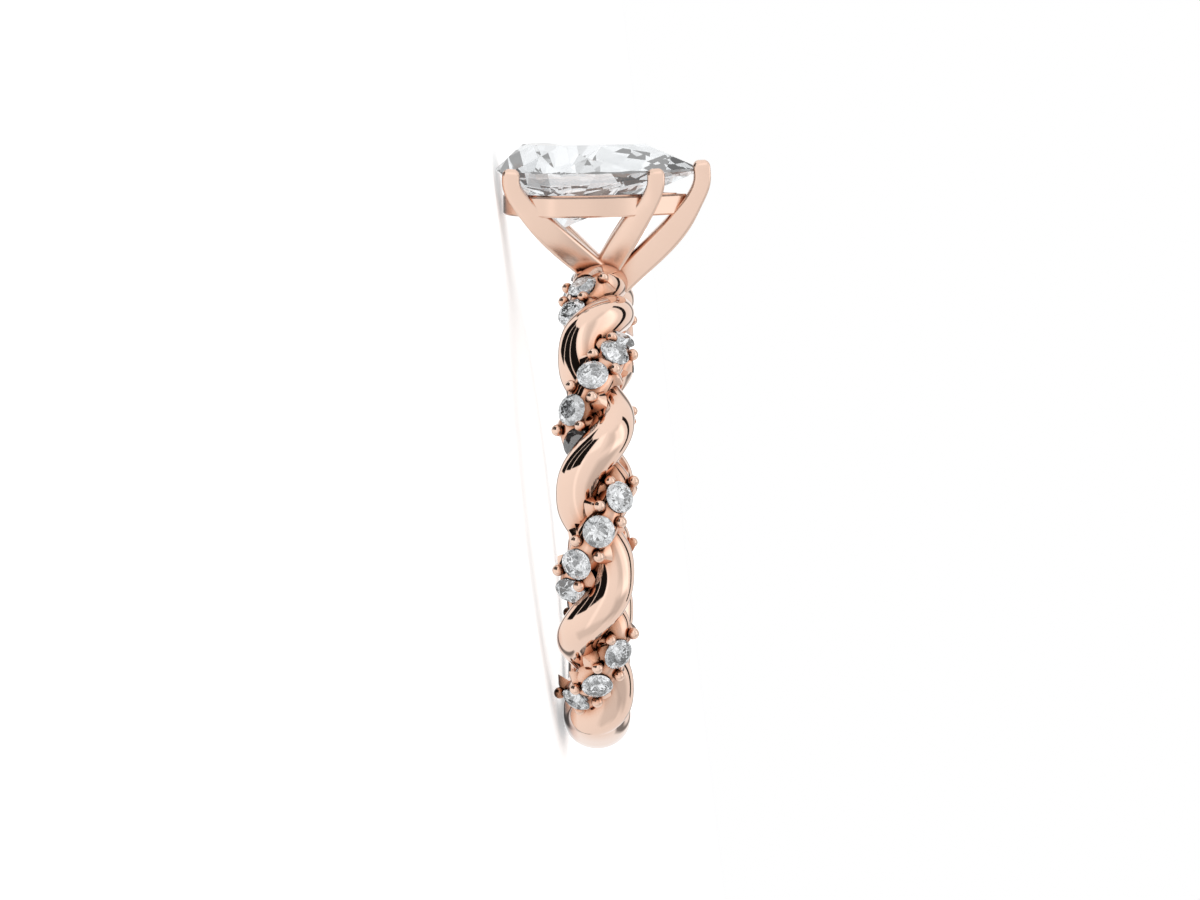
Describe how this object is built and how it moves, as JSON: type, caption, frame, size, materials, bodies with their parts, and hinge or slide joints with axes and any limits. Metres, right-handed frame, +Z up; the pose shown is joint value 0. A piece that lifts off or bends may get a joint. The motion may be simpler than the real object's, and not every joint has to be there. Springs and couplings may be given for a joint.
{
  "type": "twisted shank ring",
  "caption": "Rose gold ring with a pear-cut stone in claws over a gallery rail, on a shank twisted from a polished strand and a stone-set strand.",
  "frame": {"origin": "the ring lies on its side: centre of the bottom of its box", "axes": "+Z up from the surface it lies on, near the finger hole's axis; -X from the finger hole towards the head; Y across the ring"},
  "size_m": [0.0258, 0.0208, 0.0089],
  "materials": {
    "rose_gold": "mirror-polished rose gold",
    "center_diamond": "polished facets",
    "accent_diamond": "polished facets"
  },
  "bodies": {
    "root": {"ring_metal": "rose_gold", "center_stone": "center_diamond", "accent_stone_01": "accent_diamond", "accent_stone_02": "accent_diamond", "accent_stone_03": "accent_diamond", "accent_stone_04": "accent_diamond", "accent_stone_05": "accent_diamond", "accent_stone_06": "accent_diamond", "accent_stone_07": "accent_diamond", "accent_stone_08": "accent_diamond", "accent_stone_09": "accent_diamond", "accent_stone_10": "accent_diamond", "accent_stone_11": "accent_diamond", "accent_stone_12": "accent_diamond", "accent_stone_13": "accent_diamond", "accent_stone_14": "accent_diamond", "accent_stone_15": "accent_diamond", "accent_stone_16": "accent_diamond", "accent_stone_17": "accent_diamond", "accent_stone_18": "accent_diamond", "accent_stone_19": "accent_diamond", "accent_stone_20": "accent_diamond", "accent_stone_21": "accent_diamond", "accent_stone_22": "accent_diamond", "accent_stone_23": "accent_diamond", "accent_stone_24": "accent_diamond", "accent_stone_25": "accent_diamond", "accent_stone_26": "accent_diamond", "accent_stone_27": "accent_diamond", "accent_stone_28": "accent_diamond"}
  },
  "joints": []
}
